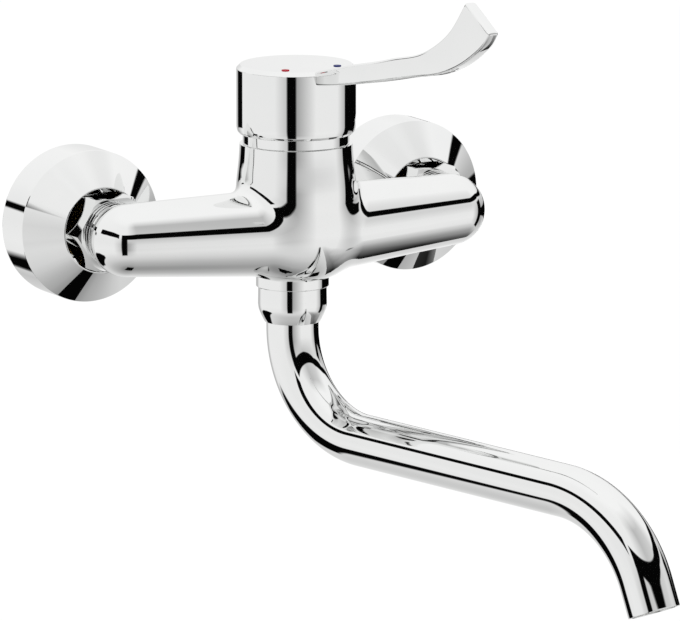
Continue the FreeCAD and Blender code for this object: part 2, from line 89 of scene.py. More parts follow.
def eased(corners, ease=0.3, step=4.0):
    # A closed outline of (radius, height) corners in millimetres, with each sharp corner rounded and
    # long stretches divided. Points of a curve, which turn by less than 0.35 (20 degrees), stay.
    sharp, arc_points, rim = 0.35, 6, 0.2
    points = [Vector(c) for c in corners]
    line = []
    for before, here, after in zip(points[-1:] + points[:-1], points, points[1:] + points[:1]):
        come, go = (here - before), (after - here)
        turn = come.angle(go)
        on_axis = here.x < 1e-6
        if turn < sharp or on_axis:
            line.append(here)
            continue
        trim = min(ease * math.tan(turn / 2), 0.4 * come.length, 0.4 * go.length)
        start, end = here - come.normalized() * trim, here + go.normalized() * trim
        line.append(start - come.normalized() * min(rim, rim * come.length))
        for k in range(arc_points):
            t = k / (arc_points - 1)
            line.append(start * (1 - t) ** 2 + here * 2 * t * (1 - t) + end * t ** 2)
        line.append(end + go.normalized() * min(rim, rim * go.length))
    dense = []
    for here, after in zip(line, line[1:] + line[:1]):
        dense.append(here)
        if here.x < 1e-6 and after.x < 1e-6:
            continue
        pieces = int((after - here).length / step)
        dense += [here.lerp(after, (k + 1) / (pieces + 1)) for k in range(pieces)]
    return dense


def along(origin, axis):
    # Where a turned piece stands: millimetres in the part's frame, and the way its height runs.
    turn = Vector((0, 0, 1)).rotation_difference(Vector(axis)).to_matrix()
    return lambda r, h, a: (Vector(origin) + turn @ Vector((r * math.cos(a), r * math.sin(a), h))) / 1000


def turned(name, outline, place, sides=144, pitch=0.0, depth=0.0, thread=(0.0, 0.0)):
    # Spins an outline about its axis. Between the two thread heights the outer wall gets a helical thread,
    # and the bore inside it stays plain.
    bore_limit = 8.9
    points, faces, first = [], [], []
    for here in outline:
        first.append(len(points))
        for k in range(1 if here.x < 1e-6 else sides):
            a = 2 * math.pi * k / sides
            r = here.x
            if depth and thread[0] < here.y < thread[1] and r > bore_limit:
                fade = min(1.0, (here.y - thread[0]) / pitch, (thread[1] - here.y) / pitch)
                wave = abs((here.y / pitch + k / sides) % 1 * 2 - 1)
                r -= depth * fade * min(1.0, max(0.0, 1.3 * wave - 0.15))
            points.append(place(r, here.y, a))
    for i, j in zip(range(len(outline)), list(range(1, len(outline))) + [0]):
        one, two = outline[i].x < 1e-6, outline[j].x < 1e-6
        if one and two:
            continue
        for k in range(sides):
            n = (k + 1) % sides
            a, b = first[i] + (0 if one else k), first[i] + (0 if one else n)
            c, d = first[j] + (0 if two else n), first[j] + (0 if two else k)
            faces.append([a, c, d] if one else [a, b, c] if two else [a, b, c, d])
    mesh = bpy.data.meshes.new(name)
    mesh.from_pydata(points, [], faces)
    mesh.polygons.foreach_set("use_smooth", [True] * len(faces))
    mesh.update()
    volume = sum(f.center.dot(f.normal) * f.area for f in mesh.polygons)
    if volume < 0:
        mesh.flip_normals()
    piece = bpy.data.objects.new(name, mesh)
    bpy.context.collection.objects.link(piece)
    return piece


def fit(piece, finish, body, slot, *nodes):
    # Gives a piece its finish and its body, and hides the CAD nodes that it stands for.
    piece.data.materials.clear()
    piece.data.materials.append(finish)
    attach(piece, body)
    if nodes:
        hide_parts(*nodes)


def dress(finish, *names):
    for name in names:
        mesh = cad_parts[name].data
        mesh.materials.clear()
        mesh.materials.append(finish)


# Turned brass, bare: warm and a little dull, with fine rings from the tool,
# drawn 0.5 mm apart because the real ones are too fine to show.
brass, tree, shader = material("brass_turned_bare")
where = add(tree, "ShaderNodeTexCoord").outputs["Object"]
stain = add(tree, "ShaderNodeTexNoise", Vector=where, Scale=120.0, Detail=3.0)
rings = add(tree, "ShaderNodeTexNoise", Vector=where, Scale=2000.0, Detail=1.0)
shade = add(tree, "ShaderNodeMix", {"data_type": "RGBA"}, _0=stain.outputs["Fac"], _6=linear("#a8864a"),
            _7=linear("#cfae6a"))
rough = add(tree, "ShaderNodeMapRange", _0=rings.outputs["Fac"], _3=0.2, _4=0.4)
shader.inputs["Metallic"].default_value = 1.0
tree.links.new(shade.outputs[2], shader.inputs["Base Color"])
tree.links.new(rough.outputs[0], shader.inputs["Roughness"])

inlet_z = 8.0
for side, x in (("left", -75.0), ("right", 75.0)):
    stub = eased([(7.5, -14.0), (10.48, -14.0), (10.48, 1.0), (7.5, 1.0)], 0.6, 0.25)
    stub = turned(side + "_wall_stub", stub, along((x, 0.0, 0.0), (0, -1, 0)), 96, 1.814, 1.1, (-13.4, -1.5))
    fit(stub, brass, "body", "brass", side + "_wall_union")
    sweep = [(10.48, 0.9), (10.6, 1.6), (13.1, 10.6), (13.22, 11.4), (13.22, 30.0), (8.5, 30.0), (8.5, 11.4),
             (7.5, 0.9)]
    offset = along((x, 0.0, inlet_z), (0, -1, 0))

    def swelling(r, h, a):
        # The axis moves from the wall thread's up to the nut's over the swell.
        share = min(1.0, max(0.0, (h - 1.2) / 9.8))
        return offset(r, h, a) + Vector((0, 0, -0.008 * (1 - share)))

    swell = turned(side + "_union_swell", eased(sweep, 0.4, 0.8), swelling, 96, 1.814, 1.0, (15.5, 29.0))
    fit(swell, brass, "body", "brass", side + "_wall_union")

# Escutcheons: the round covers on the wall. Deep-drawn from brass sheet with a
# threaded collar inside that screws on the union, polished and chrome-plated.
# Chrome plate mirrors the room almost without tint. Faint buffing marks, some
# centimetres long, vary its gloss.
chrome, tree, shader = material("chrome_plate_buffed")
where = add(tree, "ShaderNodeTexCoord").outputs["Object"]
buffing = add(tree, "ShaderNodeTexNoise", Vector=where, Scale=40.0, Detail=4.0, Roughness=0.6)
gloss = add(tree, "ShaderNodeMapRange", _0=buffing.outputs["Fac"], _1=0.3, _2=0.7, _3=0.012, _4=0.04)
shade = add(tree, "ShaderNodeMix", {"data_type": "RGBA"}, _0=buffing.outputs["Fac"], _6=linear("#eceded"),
            _7=linear("#f2f2f1"))
shader.inputs["Metallic"].default_value = 1.0
tree.links.new(shade.outputs[2], shader.inputs["Base Color"])
tree.links.new(gloss.outputs[0], shader.inputs["Roughness"])

for side, x in (("left", -75.0), ("right", 75.0)):
    cover = [(31.29, 0.0), (31.29, 17.6), (17.2, 29.5), (17.2, 16.0), (13.27, 16.0), (13.27, 13.0),
             (18.6, 13.0), (18.6, 27.1), (29.9, 17.0), (29.9, 0.0)]
    cover = turned(side + "_cover", eased(cover, 0.35, 3.0), along((x, 0.0, inlet_z), (0, -1, 0)), 192)
    fit(cover, chrome, "body", "chrome", side + "_escutcheon")

# Filter washers, union tails and check valves: a flat rubber washer with a
# sieve, a brass tail screwed in the body, and a white acetal valve that lets
# water in only.
rubber, tree, shader = material("rubber_epdm_moulded")
where = add(tree, "ShaderNodeTexCoord").outputs["Object"]
bloom = add(tree, "ShaderNodeTexNoise", Vector=where, Scale=400.0, Detail=3.0)
shade = add(tree, "ShaderNodeMix", {"data_type": "RGBA"}, _0=bloom.outputs["Fac"], _6=linear("#161616"),
            _7=linear("#272726"))
rough = add(tree, "ShaderNodeMapRange", _0=bloom.outputs["Fac"], _3=0.6, _4=0.8)
tree.links.new(shade.outputs[2], shader.inputs["Base Color"])
tree.links.new(rough.outputs[0], shader.inputs["Roughness"])
dress(rubber, "left_filter_washer", "right_filter_washer")
dress(brass, "left_union_tail", "right_union_tail")

# Acetal is moulded: off-white, slightly see-through at its skin, with a soft
# wax-like shine and a faint cloud from the flow in the mould.
acetal, tree, shader = material("acetal_white_moulded")
where = add(tree, "ShaderNodeTexCoord").outputs["Object"]
cloud = add(tree, "ShaderNodeTexNoise", Vector=where, Scale=150.0, Detail=2.0)
shade = add(tree, "ShaderNodeMix", {"data_type": "RGBA"}, _0=cloud.outputs["Fac"], _6=linear("#d8d8d3"),
            _7=linear("#eaeae6"))
rough = add(tree, "ShaderNodeMapRange", _0=cloud.outputs["Fac"], _3=0.36, _4=0.48)
tree.links.new(shade.outputs[2], shader.inputs["Base Color"])
tree.links.new(rough.outputs[0], shader.inputs["Roughness"])
dress(acetal, "left_check_valve", "right_check_valve")

# Union nuts: hexagonal, 30 mm across flats less their play, milled from brass
# and chrome-plated. They pull the tails against the unions.
dress(chrome, "left_union_nut", "right_union_nut")


# Body casting: sand-cast brass, ground, polished and chrome-plated. Two arms
# taper out to ball ends and run into an upright turret through a soft blend.
def through(points, count):
    # A natural cubic spline through points, as a dense line.
    p = np.array(points, float)
    t = np.concatenate(([0.0], np.cumsum(np.linalg.norm(np.diff(p, axis=0), axis=1))))
    h = np.diff(t)
    n = len(p)
    left = np.eye(n)
    right = np.zeros((n, 2))
    for i in range(1, n - 1):
        left[i, i - 1:i + 2] = h[i - 1], 2 * (h[i - 1] + h[i]), h[i]
        right[i] = 6 * ((p[i + 1] - p[i]) / h[i] - (p[i] - p[i - 1]) / h[i - 1])
    bend = np.linalg.solve(left, right)
    s = np.linspace(0.0, t[-1], count)
    i = np.clip(np.searchsorted(t, s) - 1, 0, n - 2)
    a, b, w = (t[i + 1] - s)[:, None], (s - t[i])[:, None], h[i][:, None]
    return (bend[i] * a ** 3 + bend[i + 1] * b ** 3) / (6 * w) + (p[i] / w - bend[i] * w / 6) * a \
        + (p[i + 1] / w - bend[i + 1] * w / 6) * b


turret_y, spout_y = -55.5, -52.2
datum = 8.65
turret_side = through([(10.5, -22.5), (15.0, -20.9), (18.9, -17.2), (21.8, -11.5), (23.6, -4.0), (24.6, 6.0),
                       (24.4, 18.0), (23.45, 27.0), (23.1, 33.3)], 80)
turret_loop = np.vstack([[(0.0, -22.5)], turret_side, [(23.05, 37.0), (0.0, 37.0)]]) + [0.0, datum]
arm_middle, arm_middle_r = np.array((0.0, -60.0, 6.1)), 18.5
arm_end_y, arm_end_z, arm_r = -49.5, 7.0, 14.8
blend = 5.0


def outside_turret(p):
    # Signed distance from the turned shape of the turret, in millimetres.
    q = np.stack([np.hypot(p[:, 0], p[:, 1] - turret_y), p[:, 2]], 1)
    nearest = np.full(len(q), 1e9)
    inside = np.zeros(len(q), bool)
    for a, b in zip(turret_loop, turret_loop[1:]):
        ab, aq = b - a, q - a
        share = np.clip(aq @ ab / (ab @ ab), 0.0, 1.0)
        nearest = np.minimum(nearest, ((aq - share[:, None] * ab) ** 2).sum(1))
        crosses = (a[1] > q[:, 1]) != (b[1] > q[:, 1])
        if a[1] != b[1]:
            inside ^= crosses & (q[:, 0] < (b[0] - a[0]) * (q[:, 1] - a[1]) / (b[1] - a[1]) + a[0])
    return np.where(inside, -1, 1) * np.sqrt(nearest)


def outside_arm(p, end):
    # Signed distance from a round arm that tapers from the middle to its ball end.
    ba = end - arm_middle
    whole = ba @ ba
    drop = arm_middle_r - arm_r
    run = whole - drop * drop
    pa = p - arm_middle
    y = pa @ ba
    z = y - whole
    x2 = ((pa * whole - ba * y[:, None]) ** 2).sum(1)
    y2, z2 = y * y * whole, z * z * whole
    k = np.sign(drop) * drop * drop * x2
    cone = (np.sqrt(x2 * run / whole) + y * drop) / whole - arm_middle_r
    cone = np.where(np.sign(y) * run * y2 < k, np.sqrt(x2 + y2) / whole - arm_middle_r, cone)
    return np.where(np.sign(z) * run * z2 > k, np.sqrt(x2 + z2) / whole - arm_r, cone)


def outside_body(p):
    arms = np.minimum(outside_arm(p, np.array((-75.0, arm_end_y, arm_end_z))),
                      outside_arm(p, np.array((75.0, arm_end_y, arm_end_z))))
    turret = outside_turret(p)
    near = np.maximum(blend - np.abs(arms - turret), 0.0) / blend
    return np.minimum(arms, turret) - near * near * blend / 4


def slope_of_body(p):
    d = 0.02
    rise = np.stack([outside_body(p + d * e) - outside_body(p - d * e) for e in np.eye(3)], 1)
    return rise / np.maximum(np.linalg.norm(rise, axis=1), 1e-12)[:, None]


def solid_copy(piece, name):
    # The mesh that a piece's modifiers make, as a piece without them.
    shape = bpy.data.meshes.new_from_object(piece.evaluated_get(bpy.context.evaluated_depsgraph_get()))
    bpy.data.objects.remove(piece)
    made = bpy.data.objects.new(name, shape)
    bpy.context.collection.objects.link(made)
    return made


def joined(name, pieces):
    points, faces = [], []
    for piece in pieces:
        base = len(points)
        points += [v.co.copy() for v in piece.data.vertices]
        faces += [[base + v for v in f.vertices] for f in piece.data.polygons]
        bpy.data.objects.remove(piece)
    mesh = bpy.data.meshes.new(name)
    mesh.from_pydata(points, [], faces)
    whole = bpy.data.objects.new(name, mesh)
    bpy.context.collection.objects.link(whole)
    return whole


def cut(piece, cutter):
    # Takes the cutter's space out of a piece.
    knife = piece.modifiers.new("cut", "BOOLEAN")
    knife.operation = "DIFFERENCE"
    knife.object = cutter
    knife.use_self = True
    name = piece.name
    piece.name = name + "_blank"
    made = solid_copy(piece, name)
    bpy.data.objects.remove(cutter)
    return made


arms = []
for x in (-75.0, 75.0):
    end = Vector((x, arm_end_y, arm_end_z))
    middle = Vector(arm_middle)
    length = (end - middle).length
    ball = [(arm_r * math.cos(math.radians(t)), length + arm_r * math.sin(math.radians(t)))
            for t in range(10, 90, 10)]
    profile = [(0.0, 0.0), (arm_middle_r, 0.0)] + ball + [(0.0, length + arm_r)]
    arms.append(turned("arm", eased(profile, 0.3, 3.0), along(middle, end - middle), 72))
turret = eased([tuple(p) for p in turret_loop], 0.3, 3.0)
turret = turned("turret", turret, along((0.0, turret_y, 0.0), (0, 0, 1)), 96)
body = joined("body_blank", arms + [turret])
grid = body.modifiers.new("grid", "REMESH")
grid.mode = "VOXEL"
grid.voxel_size = 0.0011
body = solid_copy(body, "body_skin")

spots = np.array([v.co for v in body.data.vertices]) * 1000
for _ in range(3):
    spots -= outside_body(spots)[:, None] * slope_of_body(spots)
body.data.vertices.foreach_set("co", (spots / 1000).ravel())

# The bores: nut pockets and threads at the inlets, the stepped chamber for the
# cartridge from above, and the spout's socket from below.
bores = []
for x in (-75.0, 75.0):
    way = [(0.0, 0.0), (18.17, 0.0), (18.17, 40.3), (9.85, 40.3), (9.85, 48.6), (6.2, 48.6), (6.2, 53.0),
           (0.0, 53.0)]
    bores.append(turned("way", eased(way, 0.05), along((x, 0.0, inlet_z), (0, -1, 0)), 72))
chamber = [(0.0, 1.0), (17.5, 1.0), (17.5, 24.0), (18.95, 24.0), (18.95, 33.3), (30.0, 33.3), (30.0, 45.0),
           (0.0, 45.0)]
bores.append(turned("chamber", eased(chamber, 0.05), along((0.0, turret_y, datum), (0, 0, 1)), 144))
socket = [(0.0, -33.0), (9.8, -33.0), (9.8, -14.5), (0.0, -14.5)]
bores.append(turned("socket", eased(socket, 0.05), along((0.0, spout_y, datum), (0, 0, 1)), 72))
body = cut(body, joined("bores", bores))
body.name = "body_skin"
mesh = body.data
mesh.polygons.foreach_set("use_smooth", [True] * len(mesh.polygons))
centres = np.array([f.center for f in mesh.polygons]) * 1000
facing = np.array([f.normal for f in mesh.polygons])
slopes = slope_of_body(np.array([v.co for v in mesh.vertices]) * 1000)
near_skin, same_way = 0.15, 0.9
skin = (np.abs(outside_body(centres)) < near_skin) & ((facing * slope_of_body(centres)).sum(1) > same_way)
corners = []
for face, on_skin, normal in zip(mesh.polygons, skin, facing):
    corners += [slopes[v] if on_skin else normal for v in face.vertices]
mesh.normals_split_custom_set([tuple(n) for n in corners])
fit(body, chrome, "body", "chrome", "body_casting")

# The necks towards the wall, each with a thin groove, and the collar and
# threaded spigot under the turret, turned on the casting before plating.
for side, x in (("left", -75.0), ("right", 75.0)):
    neck = [(9.85, 40.3), (13.3, 40.3), (13.3, 41.9), (12.7, 41.9), (12.7, 42.6), (13.3, 42.6), (13.3, 49.0),
            (9.85, 49.0)]
    neck = turned(side + "_inlet_neck", eased(neck, 0.25, 2.0), along((x, 0.0, inlet_z), (0, -1, 0)), 144)
    fit(neck, chrome, "body", "chrome", "body_casting")
collar = [(9.8, -33.0), (12.0, -33.0), (12.0, -26.3), (14.9, -26.3), (14.9, -16.5), (9.8, -16.5)]
collar = turned("spout_collar", eased(collar, 0.3, 2.0), along((0.0, spout_y, datum), (0, 0, 1)), 144)
fit(collar, chrome, "body", "chrome", "body_casting")

# Cartridge: a size 35 unit of glass-filled nylon with two lapped ceramic discs,
# rubber port seals, a steel pin and a brass stem. It sits in the turret, where
# a threaded brass ring holds it down.
nylon, tree, shader = material("nylon_glass_filled_moulded")
where = add(tree, "ShaderNodeTexCoord").outputs["Object"]
fibre = add(tree, "ShaderNodeTexNoise", Vector=where, Scale=1200.0, Detail=2.0)
shade = add(tree, "ShaderNodeMix", {"data_type": "RGBA"}, _0=fibre.outputs["Fac"], _6=linear("#46484c"),
            _7=linear("#5c5e62"))
rough = add(tree, "ShaderNodeMapRange", _0=fibre.outputs["Fac"], _3=0.42, _4=0.6)
tree.links.new(shade.outputs[2], shader.inputs["Base Color"])
tree.links.new(rough.outputs[0], shader.inputs["Roughness"])
dress(nylon, "cartridge_base", "cartridge_housing", "cartridge_rotor", "disc_carrier")
dress(rubber, "outlet_port_seal", "hot_port_seal", "cold_port_seal")

# Alumina discs are lapped flat: off-white, with a low even sheen and grains
# that barely show.
alumina, tree, shader = material("alumina_lapped")
where = add(tree, "ShaderNodeTexCoord").outputs["Object"]
grain = add(tree, "ShaderNodeTexNoise", Vector=where, Scale=2500.0)
shade = add(tree, "ShaderNodeMix", {"data_type": "RGBA"}, _0=grain.outputs["Fac"], _6=linear("#e2ded4"),
            _7=linear("#efece3"))
rough = add(tree, "ShaderNodeMapRange", _0=grain.outputs["Fac"], _3=0.16, _4=0.28)
tree.links.new(shade.outputs[2], shader.inputs["Base Color"])
tree.links.new(rough.outputs[0], shader.inputs["Roughness"])
dress(alumina, "fixed_ceramic_disc", "moving_ceramic_disc")

# Stainless steel of the pin and the grub screw is centreless-ground: bright
# grey with a fine grain along the length.
steel, tree, shader = material("stainless_steel_ground")
where = add(tree, "ShaderNodeTexCoord").outputs["Object"]
grind = add(tree, "ShaderNodeTexNoise", Vector=where, Scale=1500.0)
shade = add(tree, "ShaderNodeMix", {"data_type": "RGBA"}, _0=grind.outputs["Fac"], _6=linear("#b9b9bb"),
            _7=linear("#cdcdcf"))
rough = add(tree, "ShaderNodeMapRange", _0=grind.outputs["Fac"], _3=0.2, _4=0.36)
shader.inputs["Metallic"].default_value = 1.0
tree.links.new(shade.outputs[2], shader.inputs["Base Color"])
tree.links.new(rough.outputs[0], shader.inputs["Roughness"])
dress(steel, "pivot_pin")
dress(brass, "lever_stem", "cartridge_ring_nut")

# Dome ring: a spun brass cap over the ring nut, chrome-plated. Its dome is
# centred on the pivot pin, so that the hood keeps its gap when it tilts.
pivot = 25.0
dome_r, dome_inner_r, dome_rim, dome_hole, dome_seat = 25.2, 23.9, 21.8, 14.0, 18.95
outer = np.linspace(math.asin(dome_rim / dome_r), math.asin(dome_hole / dome_r), 12)
outer = [(dome_r * math.sin(t), pivot + dome_r * math.cos(t)) for t in outer]
inner = np.linspace(math.asin(dome_hole / dome_inner_r), math.asin(dome_seat / dome_inner_r), 8)
inner = [(dome_inner_r * math.sin(t), pivot + dome_inner_r * math.cos(t)) for t in inner]
dome = [(dome_seat, 33.3), (dome_rim, 33.3)] + outer + inner
dome = turned("dome_cap", eased(dome, 0.25, 2.0), along((0.0, turret_y, datum), (0, 0, 1)), 144)
fit(dome, chrome, "body", "chrome", "dome_ring")

# Handle: hood, inner boss and elbow lever cast as one in brass, polished and
# chrome-plated. The long lever is worked with the forearm, as in clinics. The
# square stem is held in the boss by a grub screw from behind.
hood_top = 65.9
hood = [(22.4, 37.7), (23.3, 37.7), (24.05, 38.7), (24.4, 40.4), (24.4, hood_top - 1.6), (22.8, hood_top),
        (0.0, hood_top), (0.0, 61.6), (22.4, 61.6)]
hood = turned("hood", eased(hood, 0.4, 1.5), along((0.0, turret_y, datum), (0, 0, 1)), 192)
screw_way = turned("screw_way", eased([(0.0, 20.0), (2.5, 20.0), (2.5, 26.0), (0.0, 26.0)], 0.05),
                   along((0.0, turret_y, 50.5 + datum), (0, 1, 0)), 48)
hood = cut(hood, screw_way)
hood.data.set_sharp_from_angle(angle=math.radians(35))
fit(hood, chrome, "lever", "chrome", "handle")

lean = math.radians(12.5)
boss = [(5.75, 12.0), (7.6, 12.0), (7.6, 37.0), (5.75, 37.0)]
boss = turned("stem_boss", eased(boss, 0.3, 2.0),
              along((0.0, turret_y, pivot + datum), (0.0, -math.sin(lean), math.cos(lean))), 72)
fit(boss, chrome, "lever", "chrome", "handle")

# The lever's upper and lower lines, (forward, height), and its half widths at the root and at the tip.
over = through([(16.0, 64.2), (27.5, 67.2), (43.2, 71.0), (55.4, 73.8), (76.5, 78.3), (87.4, 80.9),
                (107.0, 85.3), (120.0, 90.9), (131.8, 98.7), (139.2, 106.6), (142.9, 110.9)], 161)
under = through([(16.0, 59.3), (24.1, 60.4), (43.2, 63.4), (57.7, 66.0), (76.5, 69.7), (103.7, 75.4),
                 (120.0, 78.6), (132.9, 82.5), (141.5, 86.1), (151.0, 91.2), (158.4, 96.5),
                 (162.0, 100.8)], 161)
root_half_w, tip_half_w, taper_start, taper_length = 4.0, 2.1, 60.0, 110.0
edge = 1.2
points, faces = [], []
stations = [(i, 0.0) for i in range(0, 157, 2)] + [(160 - 1.1 * (1 - math.sin(t)), edge * (1 - math.cos(t)))
                                                   for t in np.radians([0, 15, 30, 45, 60, 75, 90])]
ring_size = 0
for station, inset in stations:
    i = min(int(station), 159)
    f = station - i
    top, low = over[i] * (1 - f) + over[i + 1] * f, under[i] * (1 - f) + under[i + 1] * f
    middle, half_up = (top + low) / 2, np.linalg.norm(top - low) / 2 - inset
    up = (top - low) / np.linalg.norm(top - low)
    taper = max(0.0, middle[0] - taper_start) / taper_length
    half_w = root_half_w - (root_half_w - tip_half_w) * taper - inset
    soft = min(edge, half_up * 0.8, half_w * 0.8)
    ring = []
    for cx, cy, start in ((1, 1, 0), (-1, 1, 90), (-1, -1, 180), (1, -1, 270)):
        for t in np.radians([start + k * 15 for k in range(7)]):
            ring.append(Vector((cx * (half_w - soft) + soft * math.cos(t),
                                cy * (half_up - soft) + soft * math.sin(t))))
    # Each corner has seven points, and five more where it ends.
    dense = []
    for k, (here, after) in enumerate(zip(ring, ring[1:] + ring[:1])):
        dense.append(here)
        if k % 7 == 5:
            dense += [here.lerp(after, s) for s in (0.04, 0.28, 0.5, 0.72, 0.96)]
    ring_size = len(dense)
    for w, u in dense:
        s, z = middle + up * u
        points.append(Vector((w, turret_y - s, z + datum)) / 1000)
for i in range(len(stations) - 1):
    for k in range(ring_size):
        n = (k + 1) % ring_size
        faces.append([i * ring_size + k, i * ring_size + n, (i + 1) * ring_size + n, (i + 1) * ring_size + k])
faces.append(list(range(ring_size))[::-1])
faces.append([(len(stations) - 1) * ring_size + k for k in range(ring_size)])
mesh = bpy.data.meshes.new("elbow_lever")
mesh.from_pydata(points, [], faces)
mesh.polygons.foreach_set("use_smooth", [True] * (len(faces) - 2) + [False] * 2)
mesh.update()
if sum(f.center.dot(f.normal) * f.area for f in mesh.polygons) < 0:
    mesh.flip_normals()
lever = bpy.data.objects.new("elbow_lever", mesh)
bpy.context.collection.objects.link(lever)
fit(lever, chrome, "lever", "chrome", "handle")

# Hot and cold marks: small round inlays of fired enamel in the hood's top,
# red on the left and blue on the right. Slightly mottled, with their sheen
# kept low, so that the colour also shows at the photo's low angle.
for name, dark, light in (("hot_mark", "#a80a26", "#c4142f"), ("cold_mark", "#0e1a5c", "#1a2a78")):
    enamel, tree, shader = material("enamel_fired_" + ("red" if name == "hot_mark" else "blue"))
    where = add(tree, "ShaderNodeTexCoord").outputs["Object"]
    mottle = add(tree, "ShaderNodeTexNoise", Vector=where, Scale=800.0)
    shade = add(tree, "ShaderNodeMix", {"data_type": "RGBA"}, _0=mottle.outputs["Fac"], _6=linear(dark),
                _7=linear(light))
    tree.links.new(shade.outputs[2], shader.inputs["Base Color"])
    shader.inputs["Roughness"].default_value = 0.3
    shader.inputs["Specular IOR Level"].default_value = 0.12
    inlay = eased([(0.0, hood_top - 0.6), (1.6, hood_top - 0.6), (1.6, hood_top + 0.3), (0.0, hood_top + 0.45)],
                  0.2, 0.5)
    x = -12.0 if name == "hot_mark" else 12.0
    inlay = turned(name + "_inlay", inlay, along((x, turret_y - 13.0, datum), (0, 0, 1)), 36)
    fit(inlay, enamel, "lever", "red_enamel" if name == "hot_mark" else "blue_enamel", name)

# Grub screw and its plug: a ground steel screw with a hexagon socket, and a
# grey nylon plug that closes its hole in the hood's back.
dress(steel, "handle_grub_screw")
dress(nylon, "handle_screw_plug")

# Spout cap nut: turned brass, chrome-plated, closing in a smooth curve to the
# tube. Under it lie an acetal slide ring and the spout's turned brass end with
# two rubber O-rings, which let the spout swivel.
cap = [(12.05, -26.3), (14.0, -26.3), (14.1, -33.5), (13.8, -35.7), (13.0, -37.8), (12.1, -39.7),
       (11.4, -41.0), (11.0, -41.0), (11.0, -37.6), (12.05, -37.6)]
curve = [tuple(p) for p in through(cap[2:7], 24)]
cap = eased(cap[:2] + curve + cap[7:], 0.3, 2.0)
cap = turned("cap_nut", cap, along((0.0, spout_y, datum), (0, 0, 1)), 144)
fit(cap, chrome, "body", "chrome", "spout_cap_nut")
dress(acetal, "spout_slide_ring")
dress(brass, "spout_spigot")
dress(rubber, "spout_upper_o_ring", "spout_lower_o_ring")

# Spout: a drawn brass tube, 21.4 mm outside with a 1.4 mm wall, bent twice on
# a mandrel, polished and chrome-plated. It is turned 17 degrees to the right.
swivel = math.radians(17.0)
ahead = Vector((math.sin(swivel), -math.cos(swivel), 0.0))
across = Vector((math.cos(swivel), math.sin(swivel), 0.0))
runs = [(5.5, 0.0), (42.0 * math.radians(87.6), 87.6), (112.0, 0.0), (50.0 * math.radians(66.0), -66.0),
        (11.5, 0.0)]
length = sum(run for run, _ in runs)


def on_spout(s):
    # The centre line's place and direction, s millimetres from the top of the tube.
    forward, height, turn = 0.0, -38.0, 0.0
    for run, degrees in runs:
        part = min(s, run)
        if degrees:
            r = run / math.radians(degrees)
            after = turn + part / r
            forward += r * (math.cos(turn) - math.cos(after))
            height -= r * (math.sin(after) - math.sin(turn))
            turn = after
        else:
            forward += part * math.sin(turn)
            height -= part * math.cos(turn)
        s -= part
        if s <= 0:
            break
    return forward, height, turn


def bent(r, s, a):
    forward, height, turn = on_spout(s)
    out = ahead * math.cos(turn) + Vector((0, 0, 1)) * math.sin(turn)
    centre = Vector((0.0, spout_y, datum)) + ahead * forward + Vector((0, 0, height))
    return (centre + (out * math.cos(a) + across * math.sin(a)) * r) / 1000


tube = eased([(9.3, 0.0), (10.7, 0.0), (10.7, length), (9.3, length)], 0.25, 1.6)
tube = turned("spout_pipe", tube, bent, 128)
fit(tube, chrome, "spout", "chrome", "spout_tube")

# Flow straightener: a white acetal insert with nineteen passages in the spout's
# end, held by a rubber ring.
dress(acetal, "flow_straightener")
dress(rubber, "flow_straightener_seal")

# Studio: a round light tent of white cloth with black cards hung just inside
# it, as chrome is photographed. Only reflections see it. The cloth is darkest
# under the tap and dimmer beside the cards, which shades the round parts.
tent_centre = (0.0, -0.06, 0.0)
tent_r, card_r, table_z = 1.2, 1.17, -0.30


def fill_ramp(ramp, stops):
    # Gives a colour ramp its (place, colour) stops.
    points = ramp.color_ramp.elements
    points[0].position, points[0].color = stops[0][0], linear(stops[0][1])
    points[1].position, points[1].color = stops[-1][0], linear(stops[-1][1])
    for place, code in stops[1:-1]:
        points.new(place).color = linear(code)
    return ramp.outputs["Color"]


def by_height(tree, spot, stops):
    # A grey that depends on how high a direction points, from (degrees, colour) stops.
    rise = add(tree, "ShaderNodeSeparateXYZ", Vector=spot).outputs["Z"]
    rise = add(tree, "ShaderNodeMapRange", _0=rise, _1=-1.0, _2=1.0)
    ramp = add(tree, "ShaderNodeValToRGB", Fac=rise.outputs[0])
    return fill_ramp(ramp, [((math.sin(math.radians(e)) + 1) / 2, code) for e, code in stops])


def by_turn(tree, spot, stops):
    # A grey that depends on which way round a direction points: 0 is the front, 90 the right.
    parts = add(tree, "ShaderNodeSeparateXYZ", Vector=spot)
    front = add(tree, "ShaderNodeMath", {"operation": "MULTIPLY"}, _0=parts.outputs["Y"], _1=-1.0)
    turn = add(tree, "ShaderNodeMath", {"operation": "ARCTAN2"}, _0=parts.outputs["X"], _1=front.outputs[0])
    turn = add(tree, "ShaderNodeMapRange", _0=turn.outputs[0], _1=-math.pi, _2=math.pi)
    ramp = add(tree, "ShaderNodeValToRGB", Fac=turn.outputs[0])
    return fill_ramp(ramp, [((a + 180) / 360, code) for a, code in stops])


def reflected_only(piece):
    for ray in ("camera", "diffuse", "shadow", "transmission", "volume_scatter"):
        setattr(piece, "visible_" + ray, False)


